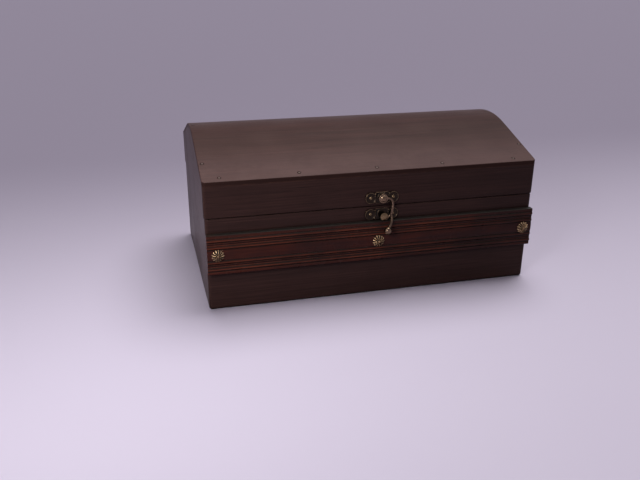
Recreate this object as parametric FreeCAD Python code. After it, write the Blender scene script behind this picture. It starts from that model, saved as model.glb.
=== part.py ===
import FreeCAD, Part
import math
import os

# Wooden puzzle box: a hinged lid over a main compartment, and a hidden drawer in the base
# behind the plain board under the front moulding. Millimetres, +Z up, the front faces -Y,
# and the origin is at the middle of the underside.

Vector = FreeCAD.Vector

# Case
case_width = 250.0
case_depth = 160.0
case_height = 69.0
wall = 8.0
corner_round = 2.5
foot_round = 2.0
seam_round = 0.8
bottom_thickness = 4.0
bottom_rabbet = 4.0

# Lid: four walls and a roof of two straight slopes that run into a round crown
lid_gap = 0.4
lid_overhang = 0.5
lid_front_height = 26.1
roof_slope = 18.4
crown_radius = 82.0
roof_thickness = 3.0
roof_edge_round = 0.6

# Brads that hold the roof panel, driven by hand and so a little off an even spacing
brad_length = 8.0
brad_radius = 0.5
brad_head_radius = 0.9
brad_head_height = 0.5
brad_proud = 0.15
brad_edge_distance = 4.5
brad_end_distance = 3.0
brad_end_margin = 14.0
brad_side_margin = 22.0
brad_side_count = 3
brad_wander = (-1.5, -1.5, 0.0, -5.0, -3.0)

# Moulding across the front
moulding_below_seam = 10.5
moulding_height = 29.5
moulding_bed = 4.2
moulding_edge = 2.6
moulding_edge_round = 0.8
outer_bead_width = 2.9
outer_bead_bulge = 0.6
cove_width = 2.4
cove_depth = 0.4
inner_bead_width = 2.7
inner_bead_bulge = 0.5
field_bulge = 0.35

# Daisy-headed tacks that hold the moulding
tack_radius = 4.7
tack_rim = 0.35
tack_dome = 2.1
tack_petals = 13
tack_groove_radius = 0.55
tack_button_radius = 1.6
tack_button_rise = 0.6
tack_shank_radius = 0.7
tack_shank_length = 10.5
tack_end_distance = 7.5

# Hidden drawer
drawer_clearance = 0.4
drawer_side_wall = 6.0
drawer_floor_thickness = 3.0
drawer_back_headroom = 1.2
drawer_back_gap = 6.0
drawer_groove_depth = 3.0
guide_width = 6.0
floor_thickness = 3.0
stop_depth = 6.0
stop_height = 3.3
stop_end_margin = 11.0
stop_headroom = 0.7

# Peg that locks the drawer from inside the compartment
peg_radius = 2.0
peg_running_clearance = 0.08
peg_hole_clearance = 0.2
peg_throw = 7.0
peg_hole_spare = 1.0
peg_knob_radius = 4.5
peg_knob_height = 5.0
peg_knob_round = 1.5
peg_side_distance = 20.0
peg_block_width = 14.0
peg_block_height = 10.0
peg_stand_off = 0.3

# Latch: two plates of one shape, a stud on the lower one and a swinging hook on the upper one
latch_x = 3.0
pivot_above_seam = 6.7
keeper_below_seam = 5.7
plate_thickness = 0.9
plate_lobe_radius = 4.2
plate_lobe_spread = 8.5
plate_neck_height = 3.4
plate_block_width = 10.6
plate_block_height = 8.8
plate_block_round = 1.2
plate_boss_rise = 0.9
plate_boss_radius = 3.9
plate_rim_width = 0.8
plate_rim_rise = 0.4
plate_bead_radius = 0.8
plate_bead_inset = 1.5
plate_nail_radius = 0.6
plate_nail_length = 7.0
plate_nail_head_radius = 1.3
plate_nail_head_rise = 0.7
hook_clearance = 0.25
hook_bar_radius = 1.0
hook_joint_radius = 1.15
hook_eye_radius = 3.6
hook_turn_radius = 4.6
hook_turn_start = 3.0
hook_drop_radius = 28.5
hook_drop_length = 7.6
hook_finger_run = (-0.7, -3.4, -4.8)
hook_ball_radius = 2.9
hook_ball_side = 2.4
hook_ball_drop = 22.9
hook_spur_radius = 0.6
hook_spur_tip_radius = 0.7
pivot_radius = 1.3
pivot_running_clearance = 0.05
pivot_head_radius = 2.5
pivot_head_rise = 1.2
stud_side = 0.6
stud_drop = 0.9
stud_neck_radius = 1.5
stud_head_radius = 2.8
stud_head_rim = 0.7
stud_head_rise = 0.6
stud_slack = 0.35

# Butt hinges with a tail that stops the lid
hinge_end_distance = 45.0
hinge_length = 25.0
leaf_thickness = 1.0
leaf_margin = 1.0
knuckle_radius = 2.0
knuckle_stand_off = 0.2
knuckle_gap = 0.2
knuckle_centre_length = 9.6
hinge_pin_radius = 0.8
hinge_running_clearance = 0.05
leaf_relief = 0.3
lid_open_angle = 100.0
tail_length = 6.0
tail_width = 8.0
tail_gap = 0.1
screw_spread = 8.0
screw_radius = 0.9
screw_head_radius = 1.7
screw_length = 9.0
screw_slot_width = 0.4
screw_slot_depth = 0.35

# Shares and margins of the cutting work
hair = 1e-6
wedge_spare = 0.25
lid_headroom = 1.0

# Places worked out from the sizes above
half_width = case_width / 2
half_depth = case_depth / 2
inner_half_width = half_width - wall
inner_half_depth = half_depth - wall
front_face = -half_depth
lid_half_width = half_width + lid_overhang
lid_bottom = case_height + lid_gap
eave_height = lid_bottom + lid_front_height
slope = math.radians(roof_slope)
crown_half_width = crown_radius * math.sin(slope)
crown_foot = eave_height + (half_depth - crown_half_width) * math.tan(slope)
crown_centre = crown_foot - crown_radius * math.cos(slope)
moulding_top = case_height - moulding_below_seam
moulding_bottom = moulding_top - moulding_height
moulding_front = moulding_bed + outer_bead_bulge
drawer_front_top = moulding_bottom - drawer_clearance
drawer_base = bottom_thickness + drawer_clearance
drawer_half_width = inner_half_width - guide_width - drawer_clearance
drawer_front_back = front_face + wall
drawer_back_rear = inner_half_depth - drawer_back_gap
floor_bottom = moulding_bottom + drawer_clearance
floor_top = floor_bottom + floor_thickness
stop_bottom = floor_bottom - stop_height
drawer_side_top = stop_bottom - stop_headroom
drawer_back_top = floor_bottom - drawer_back_headroom
peg_x = inner_half_width - guide_width - peg_side_distance
peg_y = drawer_back_rear - drawer_side_wall / 2
peg_tip = drawer_back_top + drawer_clearance + peg_stand_off
pivot_height = case_height + pivot_above_seam
keeper_height = case_height - keeper_below_seam
stud_x = latch_x + stud_side
stud_height = keeper_height - stud_drop
boss_front = plate_thickness + plate_boss_rise
hook_centre = boss_front + hook_clearance + hook_bar_radius
hinge_spread = half_width - hinge_end_distance
hinge_y = half_depth + knuckle_radius + knuckle_stand_off
hinge_z = case_height + lid_gap / 2


def block(x_min, x_max, y_min, y_max, z_min, z_max):
    """Make a box between two corners."""
    return Part.makeBox(x_max - x_min, y_max - y_min, z_max - z_min, Vector(x_min, y_min, z_min))


def rod(radius, start, end):
    """Make a round bar between two points."""
    return Part.makeCylinder(radius, (end - start).Length, start, end - start)


def ball(radius, centre, axis=Vector(0, 0, 1)):
    """Make a sphere about a point, with its poles along an axis."""
    return Part.makeSphere(radius, centre, axis)


def joined(shapes):
    """Fuse shapes into one clean solid."""
    solid = shapes[0].multiFuse(shapes[1:]).removeSplitter()
    if len(solid.Solids) != 1:
        raise ValueError("the pieces to join do not touch")
    return solid.Solids[0]


def in_front(x, distance, z):
    """Point at a distance in front of the case's front face."""
    return Vector(x, front_face - distance, z)


def prism(points, z_min, z_max):
    """Raise a flat outline of x, y points from one height to another."""
    corners = [Vector(x, y, z_min) for x, y in points]
    face = Part.Face(Part.makePolygon(corners + corners[:1]))
    return face.extrude(Vector(0, 0, z_max - z_min))


def upright_edges(shape):
    """Edges of a shape that stand straight up."""
    return [edge for edge in shape.Edges if edge.BoundBox.XLength + edge.BoundBox.YLength < hair]


def level_edges(shape, height):
    """Edges of a shape that lie at one height."""
    low = height - hair
    high = height + hair
    return [edge for edge in shape.Edges if low < edge.BoundBox.ZMin and edge.BoundBox.ZMax < high]


def rounded_block(x_half, y_half, z_min, z_max, side, low, top):
    """Make a block about the Z axis with eased upright, lower and upper edges."""
    solid = block(-x_half, x_half, -y_half, y_half, z_min, z_max)
    solid = solid.makeFillet(side, upright_edges(solid))
    solid = solid.makeFillet(low, level_edges(solid, z_min))
    if top > 0:
        solid = solid.makeFillet(top, level_edges(solid, z_max))
    return solid


def mitre_wedge(side, x_half, y_half, z_min, z_max):
    """Make the wedge that cuts one mitred wall out of a ring of four walls."""
    x_in = inner_half_width
    y_in = inner_half_depth
    x_step = (x_half - x_in) * wedge_spare
    y_step = (y_half - y_in) * wedge_spare
    far = [x_half + x_step, y_half + y_step]
    near = [x_in - x_step, y_in - y_step]
    outlines = {
        "front": [(-far[0], -far[1]), (far[0], -far[1]), (near[0], -near[1]), (-near[0], -near[1])],
        "back": [(-far[0], far[1]), (far[0], far[1]), (near[0], near[1]), (-near[0], near[1])],
        "left": [(-far[0], -far[1]), (-far[0], far[1]), (-near[0], near[1]), (-near[0], -near[1])],
        "right": [(far[0], -far[1]), (far[0], far[1]), (near[0], near[1]), (near[0], -near[1])],
    }
    return prism(outlines[side], z_min, z_max)


def roof_outline(drop):
    """Edges of the roof's section from front to back, moved in from the outside by a thickness."""
    eave = eave_height - drop / math.cos(slope)
    radius = crown_radius - drop
    reach = radius * math.sin(slope)
    foot = crown_centre + radius * math.cos(slope)
    front = Vector(0, -half_depth, eave)
    back = Vector(0, half_depth, eave)
    left_foot = Vector(0, -reach, foot)
    right_foot = Vector(0, reach, foot)
    top = Vector(0, 0, crown_centre + radius)
    arc = Part.Arc(left_foot, top, right_foot).toShape()
    return [Part.makeLine(front, left_foot), arc, Part.makeLine(right_foot, back)]


def under_roof(drop):
    """Make the solid that fills the lid from its lower edge up to the roof's section."""
    edges = roof_outline(drop)
    back = edges[-1].Vertexes[-1].Point
    front = edges[0].Vertexes[0].Point
    base_back = Vector(0, half_depth, lid_bottom)
    base_front = Vector(0, -half_depth, lid_bottom)
    edges.append(Part.makeLine(back, base_back))
    edges.append(Part.makeLine(base_back, base_front))
    edges.append(Part.makeLine(base_front, front))
    solid = Part.Face(Part.Wire(edges)).extrude(Vector(2 * lid_half_width, 0, 0))
    solid.translate(Vector(-lid_half_width, 0, 0))
    return solid


def roof_point(y):
    """Point of the roof's outside and its outward direction, at a distance from the ridge."""
    if abs(y) > crown_half_width:
        height = eave_height + (half_depth - abs(y)) * math.tan(slope)
        lean = math.copysign(slope, y)
    else:
        lean = math.asin(y / crown_radius)
        height = crown_centre + crown_radius * math.cos(lean)
    return Vector(0, y, height), Vector(0, math.sin(lean), math.cos(lean))


def roof_rim(solid):
    """Edges round the top of the roof panel, where its outside meets its four edges."""
    rim = []
    for edge in solid.Edges:
        middle = edge.CenterOfMass
        surface, outward = roof_point(middle.y)
        at_end = abs(middle.x) > lid_half_width - corner_round
        at_eave = abs(middle.y) > half_depth - corner_round
        on_top = (middle - surface).dot(outward) > -roof_thickness / 2
        if on_top and (at_end or at_eave) and edge.BoundBox.DiagonalLength > roof_thickness / 2:
            rim.append(edge)
    return rim


def nail(point, outward, shank, length, head, rise):
    """Make a round-headed nail: a point on the surface, its outward direction and its sizes."""
    body = rod(shank, point - outward * length, point + outward * rise / 2)
    cap_radius = (head * head + rise * rise) / (2 * rise)
    cap = ball(cap_radius, point + outward * (rise - cap_radius))
    head_bar = rod(head, point, point + outward * rise)
    return joined([body, head_bar.common(cap)])


def brad(x, y):
    """Make one roof brad, square to the roof where it stands."""
    surface, outward = roof_point(y)
    top = surface + Vector(x, 0, 0) + outward * brad_proud
    head = rod(brad_head_radius, top - outward * brad_head_height, top)
    shank = rod(brad_radius, top - outward * brad_length, top - outward * brad_head_height / 2)
    return joined([head, shank])


def brads():
    """Make all the roof brads: a row along the front and the back, and a few over each end."""
    count = len(brad_wander)
    pitch = 2 * (lid_half_width - brad_end_margin) / (count - 1)
    row = [brad_end_margin - lid_half_width + pitch * i + brad_wander[i] for i in range(count)]
    edge = half_depth - brad_edge_distance
    nails = [brad(x, -edge) for x in row] + [brad(-x, edge) for x in row]
    side_reach = half_depth - brad_side_margin
    side_pitch = 2 * side_reach / (brad_side_count - 1)
    end = lid_half_width - brad_end_distance
    for i in range(brad_side_count):
        nails.append(brad(-end, side_pitch * i - side_reach))
        nails.append(brad(end, side_pitch * i - side_reach))
    return nails


def moulding():
    """Make the reeded moulding: a chain of flats, beads and coves along its height."""
    edge = moulding_edge
    half = [
        (outer_bead_width, outer_bead_bulge),
        (cove_width, -cove_depth),
        (inner_bead_width, inner_bead_bulge),
    ]
    field = moulding_height - 2 * (edge + sum(width for width, bulge in half))
    bands = half + [(field, field_bulge)] + half[::-1]
    low = moulding_bottom
    high = moulding_top
    rounding = moulding_edge_round
    corner = rounding * (1 - math.sqrt(0.5))
    back_low = in_front(0, 0, low)
    back_high = in_front(0, 0, high)
    start = in_front(0, moulding_bed - rounding, low)
    turn = in_front(0, moulding_bed - corner, low + corner)
    point = in_front(0, moulding_bed, low + rounding)
    edges = [Part.makeLine(back_low, start), Part.Arc(start, turn, point).toShape()]
    height = low + edge
    step = in_front(0, moulding_bed, height)
    edges.append(Part.makeLine(point, step))
    for width, bulge in bands:
        crest = in_front(0, moulding_bed + bulge, height + width / 2)
        after = in_front(0, moulding_bed, height + width)
        edges.append(Part.Arc(step, crest, after).toShape())
        height += width
        step = after
    top = in_front(0, moulding_bed, high - rounding)
    top_turn = in_front(0, moulding_bed - corner, high - corner)
    top_end = in_front(0, moulding_bed - rounding, high)
    edges.append(Part.makeLine(step, top))
    edges.append(Part.Arc(top, top_turn, top_end).toShape())
    edges.append(Part.makeLine(top_end, back_high))
    edges.append(Part.makeLine(back_high, back_low))
    solid = Part.Face(Part.Wire(edges)).extrude(Vector(case_width, 0, 0))
    solid.translate(Vector(-half_width, 0, 0))
    return solid


def tack(x):
    """Make one daisy-headed tack with its petals round a middle button."""
    z = moulding_bottom + moulding_height / 2
    back = moulding_front
    outward = Vector(0, -1, 0)
    seat = in_front(x, back, z)
    cap_radius = (tack_radius ** 2 + tack_dome ** 2) / (2 * tack_dome)
    rise = tack_rim + tack_dome
    bar = rod(tack_radius, seat, seat + outward * rise)
    dome = bar.common(ball(cap_radius, seat + outward * (rise - cap_radius)))
    rim = rod(tack_radius, seat, seat + outward * tack_rim)
    head = rim.fuse(dome)
    for i in range(tack_petals):
        angle = 2 * math.pi * i / tack_petals
        along = Vector(math.cos(angle), 0, math.sin(angle))
        inner = seat + along * tack_button_radius + outward * rise
        outer = seat + along * (tack_radius + tack_groove_radius) + outward * tack_rim
        head = head.cut(rod(tack_groove_radius, inner, outer))
    button = ball(tack_button_radius, seat + outward * (rise + tack_button_rise - tack_button_radius))
    shank = rod(tack_shank_radius, seat - outward * tack_shank_length, seat + outward * tack_rim)
    return joined([head, button, shank])


def latch_plate(height):
    """Make one latch plate: a middle block with a round boss between two rimmed lobes."""
    x_low = latch_x - plate_block_width / 2
    x_high = latch_x + plate_block_width / 2
    half = plate_block_height / 2
    middle = block(x_low, x_high, front_face - plate_thickness, front_face, height - half, height + half)
    corners = [edge for edge in middle.Edges if edge.BoundBox.XLength + edge.BoundBox.ZLength < hair]
    middle = middle.makeFillet(plate_block_round, corners)
    neck = block(
        latch_x - plate_lobe_spread,
        latch_x + plate_lobe_spread,
        front_face - plate_thickness,
        front_face,
        height - plate_neck_height / 2,
        height + plate_neck_height / 2,
    )
    pieces = [middle, neck]
    for side in (-1, 1):
        x = latch_x + side * plate_lobe_spread
        rim_front = plate_thickness + plate_rim_rise
        lobe = rod(plate_lobe_radius, in_front(x, 0, height), in_front(x, rim_front, height))
        dish_radius = plate_lobe_radius - plate_rim_width
        dish = rod(dish_radius, in_front(x, plate_thickness, height), in_front(x, rim_front, height))
        pieces.append(lobe.cut(dish))
        for end in (-1, 1):
            bead_x = latch_x + side * plate_block_width / 2
            bead_z = height + end * (half - plate_bead_inset)
            pieces.append(ball(plate_bead_radius, in_front(bead_x, plate_thickness, bead_z)))
    boss_back = in_front(latch_x, 0, height)
    boss_face = in_front(latch_x, boss_front, height)
    pieces.append(rod(plate_boss_radius, boss_back, boss_face))
    return joined(pieces)


def plate_nails(height):
    """Make the nails through the lobes of one latch plate."""
    outward = Vector(0, -1, 0)
    sizes = (plate_nail_radius, plate_nail_length, plate_nail_head_radius, plate_nail_head_rise)
    nails = []
    for side in (-1, 1):
        point = in_front(latch_x + side * plate_lobe_spread, plate_thickness, height)
        nails.append(nail(point, outward, *sizes))
    return nails


def pivot_rivet():
    """Make the rivet that the hook turns on, with its domed head in front of the hook's eye."""
    head_back = hook_centre + hook_bar_radius + hook_clearance
    shank_back = in_front(latch_x, 0, pivot_height)
    shank_front = in_front(latch_x, head_back, pivot_height)
    shank = rod(pivot_radius, shank_back, shank_front)
    head = domed_head(latch_x, pivot_height, head_back, pivot_head_radius, 0.0, pivot_head_rise)
    return joined([shank, head])


def domed_head(x, z, back, radius, rim, rise):
    """Make a round head facing forward: a straight rim and a domed front."""
    cap_radius = (radius ** 2 + rise ** 2) / (2 * rise)
    bar = rod(radius, in_front(x, back, z), in_front(x, back + rim + rise, z))
    return bar.common(ball(cap_radius, in_front(x, back + rim + rise - cap_radius, z)))


def stud():
    """Make the stud on the lower plate: a neck and a mushroom head in front of the hook's bar."""
    head_back = hook_centre + hook_bar_radius + stud_slack
    neck = rod(stud_neck_radius, in_front(stud_x, 0, stud_height), in_front(stud_x, head_back, stud_height))
    rim = rod(
        stud_head_radius,
        in_front(stud_x, head_back, stud_height),
        in_front(stud_x, head_back + stud_head_rim, stud_height),
    )
    cap = domed_head(stud_x, stud_height, head_back + stud_head_rim, stud_head_radius, 0.0, stud_head_rise)
    return joined([neck, rim, cap])


def hook():
    """Make the swinging hook: eye, bent bar, spur behind the stud's head, and finger ball."""
    depth = hook_centre
    turn_x = latch_x + hook_turn_start
    right = turn_x + hook_turn_radius
    turn_z = pivot_height - hook_turn_radius
    slant = math.sin(math.pi / 4)
    start = in_front(latch_x + pivot_radius + hook_bar_radius, depth, pivot_height)
    turn_in = in_front(turn_x, depth, pivot_height)
    turn_mid = in_front(turn_x + hook_turn_radius * slant, depth, turn_z + hook_turn_radius * slant)
    turn_out = in_front(right, depth, turn_z)
    swing = math.asin(hook_drop_length / hook_drop_radius)
    bend_mid = in_front(
        right - hook_drop_radius * (1 - math.cos(swing / 2)),
        depth,
        turn_z - hook_drop_radius * math.sin(swing / 2),
    )
    bend_end = in_front(right - hook_drop_radius * (1 - math.cos(swing)), depth, turn_z - hook_drop_length)
    path = Part.Wire([
        Part.makeLine(start, turn_in),
        Part.Arc(turn_in, turn_mid, turn_out).toShape(),
        Part.Arc(turn_out, bend_mid, bend_end).toShape(),
    ])
    ring = Part.Wire(Part.Circle(start, Vector(1, 0, 0), hook_bar_radius).toShape())
    bar = path.makePipeShell([ring], True, False)
    finger_bend = bend_end + Vector(*hook_finger_run)
    ball_front = hook_ball_front()
    ball_centre = in_front(latch_x + hook_ball_side, ball_front, pivot_height - hook_ball_drop)
    eye = rod(
        hook_eye_radius,
        in_front(latch_x, depth - hook_bar_radius, pivot_height),
        in_front(latch_x, depth + hook_bar_radius, pivot_height),
    )
    spur_tip = in_front(spur_tip_x(), depth, spur_tip_height())
    pieces = [
        eye,
        bar,
        ball(hook_joint_radius, bend_end),
        rod(hook_bar_radius, bend_end, finger_bend),
        ball(hook_joint_radius, finger_bend),
        rod(hook_bar_radius, finger_bend, ball_centre),
        ball(hook_ball_radius, ball_centre, finger_bend - ball_centre),
        rod(hook_spur_radius, bend_end, spur_tip),
        ball(hook_spur_tip_radius, spur_tip, bend_end - spur_tip),
    ]
    bore = rod(
        pivot_radius + pivot_running_clearance,
        in_front(latch_x, depth - 2 * hook_bar_radius, pivot_height),
        in_front(latch_x, depth + 2 * hook_bar_radius, pivot_height),
    )
    return joined(pieces).cut(bore).Solids[0]


def hook_ball_front():
    """Distance of the finger ball's middle in front of the case, clear of the stud's head."""
    stud_front = hook_centre + hook_bar_radius + stud_slack + stud_head_rim + stud_head_rise
    return stud_front + hook_clearance + hook_ball_radius


def spur_tip_x():
    """Place of the spur's tip, just to the right of the stud's neck."""
    return stud_x + stud_neck_radius + hook_spur_tip_radius + stud_slack


def spur_tip_height():
    """Height of the spur's tip, midway between the stud's neck and the moulding's top."""
    return (stud_height - stud_neck_radius + moulding_top) / 2


def hinge_leaf(x, upward):
    """Make one hinge leaf and its knuckles; the lid's leaf carries the middle knuckle and a tail."""
    half = hinge_length / 2
    centre_half = knuckle_centre_length / 2
    if upward:
        z_min = lid_bottom
        z_max = lid_bottom + leaf_thickness
        spans = [(-centre_half, centre_half)]
        bore = hinge_pin_radius + hinge_running_clearance
    else:
        z_min = case_height - leaf_thickness
        z_max = case_height
        spans = [(-half, -centre_half - knuckle_gap), (centre_half + knuckle_gap, half)]
        bore = hinge_pin_radius
    y_min = inner_half_depth + leaf_margin
    clear = hinge_y - knuckle_radius - leaf_relief
    pieces = [block(x - half, x + half, y_min, clear, z_min, z_max)]
    for low, high in spans:
        pieces.append(block(x + low, x + high, clear, hinge_y, z_min, z_max))
        start = Vector(x + low, hinge_y, hinge_z)
        end = Vector(x + high, hinge_y, hinge_z)
        pieces.append(rod(knuckle_radius, start, end))
    if upward:
        tail = block(
            x - tail_width / 2,
            x + tail_width / 2,
            half_depth + tail_gap,
            half_depth + tail_gap + leaf_thickness,
            hinge_z - tail_length,
            hinge_z,
        )
        tail.rotate(Vector(x, hinge_y, hinge_z), Vector(1, 0, 0), lid_open_angle)
        pieces.append(tail)
    bore_start = Vector(x - half, hinge_y, hinge_z)
    bore_end = Vector(x + half, hinge_y, hinge_z)
    return joined(pieces).cut(rod(bore, bore_start, bore_end)).Solids[0]


def hinge_pin(x):
    """Make one hinge pin, fixed in the case's knuckles."""
    half = hinge_length / 2
    return rod(hinge_pin_radius, Vector(x - half, hinge_y, hinge_z), Vector(x + half, hinge_y, hinge_z))


def hinge_screws(upward):
    """Make the countersunk screws of both leaves that go up into the lid or down into the case."""
    way = Vector(0, 0, 1 if upward else -1)
    face = lid_bottom if upward else case_height
    y = (inner_half_depth + half_depth) / 2
    screws = []
    for hinge in (-hinge_spread, hinge_spread):
        for side in (-1, 1):
            top = Vector(hinge + side * screw_spread, y, face)
            head = Part.makeCone(screw_head_radius, screw_radius, leaf_thickness, top, way)
            shank = rod(screw_radius, top + way * leaf_thickness / 2, top + way * screw_length)
            slot_deep = screw_slot_depth * way.z
            slot = block(
                top.x - screw_head_radius,
                top.x + screw_head_radius,
                y - screw_slot_width / 2,
                y + screw_slot_width / 2,
                min(face, face + slot_deep),
                max(face, face + slot_deep),
            )
            screws.append(joined([head, shank]).cut(slot).Solids[0])
    return screws


def plugs(screws):
    """Close the driver slots of screws, so that they cut whole holes."""
    solids = []
    for screw in screws:
        box = screw.BoundBox
        top = box.ZMin if box.Center.z > case_height else box.ZMax
        way = 1 if box.Center.z > case_height else -1
        centre = Vector(box.Center.x, box.Center.y, top)
        head = Part.makeCone(screw_head_radius, screw_radius, leaf_thickness, centre, Vector(0, 0, way))
        solids.append(screw.fuse(head))
    return solids


def drilled(solid, fasteners):
    """Cut the holes of fasteners out of a solid."""
    return solid.cut(Part.makeCompound(fasteners)).Solids[0]


def peg():
    """Make the locking peg: a dowel with a turned knob, lifted clear of the drawer."""
    block_top = floor_top + peg_block_height
    knob_low = block_top + peg_throw + peg_stand_off
    knob_base = Vector(peg_x, peg_y, knob_low)
    knob = rod(peg_knob_radius, knob_base, knob_base + Vector(0, 0, peg_knob_height))
    rims = [edge for edge in knob.Edges if edge.BoundBox.ZLength < hair]
    knob = knob.makeFillet(peg_knob_round, rims)
    shaft = rod(peg_radius, Vector(peg_x, peg_y, peg_tip), Vector(peg_x, peg_y, knob_low + peg_knob_round))
    return joined([shaft, knob])


def peg_bore(radius, z_min, z_max):
    """Make the tool for one of the peg's holes."""
    return rod(radius, Vector(peg_x, peg_y, z_min), Vector(peg_x, peg_y, z_max))


def mirrored(solid):
    """Make the left-hand copy of a right-hand piece."""
    return solid.mirror(Vector(0, 0, 0), Vector(1, 0, 0))


parts = {}

# Fasteners come first, because they set the holes in the pieces that they hold.
all_brads = brads()
upper_nails = plate_nails(pivot_height)
lower_nails = plate_nails(keeper_height)
lid_screws = hinge_screws(True)
case_screws = hinge_screws(False)
tack_reach = half_width - tack_end_distance
tacks = {"tack_left": tack(-tack_reach), "tack_centre": tack(0.0), "tack_right": tack(tack_reach)}

parts["lid_brads"] = Part.makeCompound(all_brads)
parts["hook_plate_nails"] = Part.makeCompound(upper_nails)
parts["keeper_nails"] = Part.makeCompound(lower_nails)
parts["hinge_lid_screws"] = Part.makeCompound(lid_screws)
parts["hinge_case_screws"] = Part.makeCompound(case_screws)
parts.update(tacks)

# Hinges
for side_name, x in (("left", -hinge_spread), ("right", hinge_spread)):
    parts["hinge_" + side_name + "_case_leaf"] = drilled(hinge_leaf(x, False), plugs(case_screws))
    parts["hinge_" + side_name + "_lid_leaf"] = drilled(hinge_leaf(x, True), plugs(lid_screws))
    parts["hinge_" + side_name + "_pin"] = hinge_pin(x)
gains = []
for x in (-hinge_spread, hinge_spread):
    x_low = x - hinge_length / 2
    x_high = x + hinge_length / 2
    y_low = inner_half_depth + leaf_margin
    z_low = case_height - leaf_thickness
    z_high = lid_bottom + leaf_thickness
    gains.append(block(x_low, x_high, y_low, half_depth, z_low, z_high))

# Latch
rivet = pivot_rivet()
keeper_stud = stud()
parts["latch_rivet"] = rivet
parts["latch_stud"] = keeper_stud
parts["latch_hook_plate"] = drilled(latch_plate(pivot_height), upper_nails + [rivet])
parts["latch_keeper_plate"] = drilled(latch_plate(keeper_height), lower_nails + [keeper_stud])
parts["latch_hook"] = hook()

# Case walls, mitred at the corners, with the moulding across the front
case_block = rounded_block(half_width, half_depth, 0, case_height, corner_round, foot_round, seam_round)
hollow = block(
    -inner_half_width, inner_half_width, -inner_half_depth, inner_half_depth, 0, case_height
)
case_ring = case_block.cut(hollow)
bottom_front = drawer_front_back + drawer_clearance
bottom = block(
    -inner_half_width - bottom_rabbet,
    inner_half_width + bottom_rabbet,
    bottom_front,
    inner_half_depth + bottom_rabbet,
    0,
    bottom_thickness,
)
front_wedge = mitre_wedge("front", half_width, half_depth, moulding_bottom, case_height)
front = case_ring.common(front_wedge)
parts["case_front"] = drilled(front, lower_nails + list(tacks.values()))
back = case_ring.common(mitre_wedge("back", half_width, half_depth, 0, case_height))
parts["case_back"] = drilled(back, [bottom] + gains + plugs(case_screws))
for side_name in ("left", "right"):
    end = case_ring.common(mitre_wedge(side_name, half_width, half_depth, 0, case_height))
    parts["case_" + side_name + "_end"] = end.cut(bottom).Solids[0]
parts["case_bottom"] = bottom
parts["front_moulding"] = drilled(moulding(), list(tacks.values()))

# Floor of the main compartment on two guide rails, with the drawer's stop under it
guide_right = block(
    inner_half_width - guide_width,
    inner_half_width,
    bottom_front,
    inner_half_depth,
    bottom_thickness,
    floor_bottom,
)
parts["drawer_guide_right"] = guide_right
parts["drawer_guide_left"] = mirrored(guide_right)
floor = block(
    -inner_half_width, inner_half_width, -inner_half_depth, inner_half_depth, floor_bottom, floor_top
)
bore_radius = peg_radius + peg_running_clearance
parts["compartment_floor"] = floor.cut(peg_bore(bore_radius, floor_bottom, floor_top))
stop_front = drawer_front_back + drawer_clearance
stop_half = drawer_half_width - stop_end_margin
parts["drawer_stop"] = block(
    -stop_half, stop_half, stop_front, stop_front + stop_depth, stop_bottom, floor_bottom
)
block_top = floor_top + peg_block_height
peg_block = block(
    peg_x - peg_block_width / 2,
    peg_x + peg_block_width / 2,
    peg_y - peg_block_width / 2,
    inner_half_depth,
    floor_top,
    block_top,
)
parts["peg_block"] = peg_block.cut(peg_bore(bore_radius, floor_top, block_top))
parts["lock_peg"] = peg()

# Drawer, with its front cut from the same ring as the case so that the corners line up
drawer_wedge = mitre_wedge("front", half_width, half_depth, drawer_clearance, drawer_front_top)
drawer_wedge.translate(Vector(0, -drawer_clearance, 0))
drawer_floor_top = drawer_base + drawer_floor_thickness
drawer_inner_half = drawer_half_width - drawer_side_wall
drawer_back_front = drawer_back_rear - drawer_side_wall
drawer_floor = block(
    -drawer_inner_half,
    drawer_inner_half,
    drawer_front_back - drawer_groove_depth,
    drawer_back_front,
    drawer_base,
    drawer_floor_top,
)
parts["drawer_front"] = case_ring.common(drawer_wedge).cut(drawer_floor).Solids[0]
parts["drawer_bottom"] = drawer_floor
drawer_right = block(
    drawer_inner_half,
    drawer_half_width,
    drawer_front_back,
    drawer_back_rear,
    drawer_base,
    drawer_side_top,
)
parts["drawer_right_side"] = drawer_right
parts["drawer_left_side"] = mirrored(drawer_right)
drawer_back = block(
    -drawer_inner_half,
    drawer_inner_half,
    drawer_back_front,
    drawer_back_rear,
    drawer_base,
    drawer_back_top,
)
pocket_bottom = peg_tip - peg_throw - peg_hole_spare
peg_pocket = peg_bore(peg_radius + peg_hole_clearance, pocket_bottom, drawer_back_top)
parts["drawer_back"] = drawer_back.cut(peg_pocket)

# Lid walls and roof panel
lid_top = crown_centre + crown_radius
block_height = lid_top + lid_headroom
lid_block = rounded_block(
    lid_half_width, half_depth, lid_bottom, block_height, corner_round, seam_round, 0
)
lid_hollow = block(
    -inner_half_width,
    inner_half_width,
    -inner_half_depth,
    inner_half_depth,
    lid_bottom,
    block_height,
)
wall_fill = under_roof(roof_thickness)
lid_ring = lid_block.common(wall_fill).cut(lid_hollow)
lid_holes = {
    "front": upper_nails + all_brads,
    "back": gains + plugs(lid_screws) + all_brads,
    "left": all_brads,
    "right": all_brads,
}
lid_names = {"front": "lid_front", "back": "lid_back", "left": "lid_left_end", "right": "lid_right_end"}
for side_name, node in lid_names.items():
    lid_wall = lid_ring.common(mitre_wedge(side_name, lid_half_width, half_depth, lid_bottom, lid_top))
    parts[node] = drilled(lid_wall, lid_holes[side_name])
roof = lid_block.common(under_roof(0.0)).cut(wall_fill).Solids[0]
roof = roof.makeFillet(roof_edge_round, roof_rim(roof))
parts["lid_roof"] = drilled(roof, all_brads)

os.makedirs("parts", exist_ok=True)
for node, shape in parts.items():
    shape.exportStep("parts/" + node + ".step")
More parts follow.
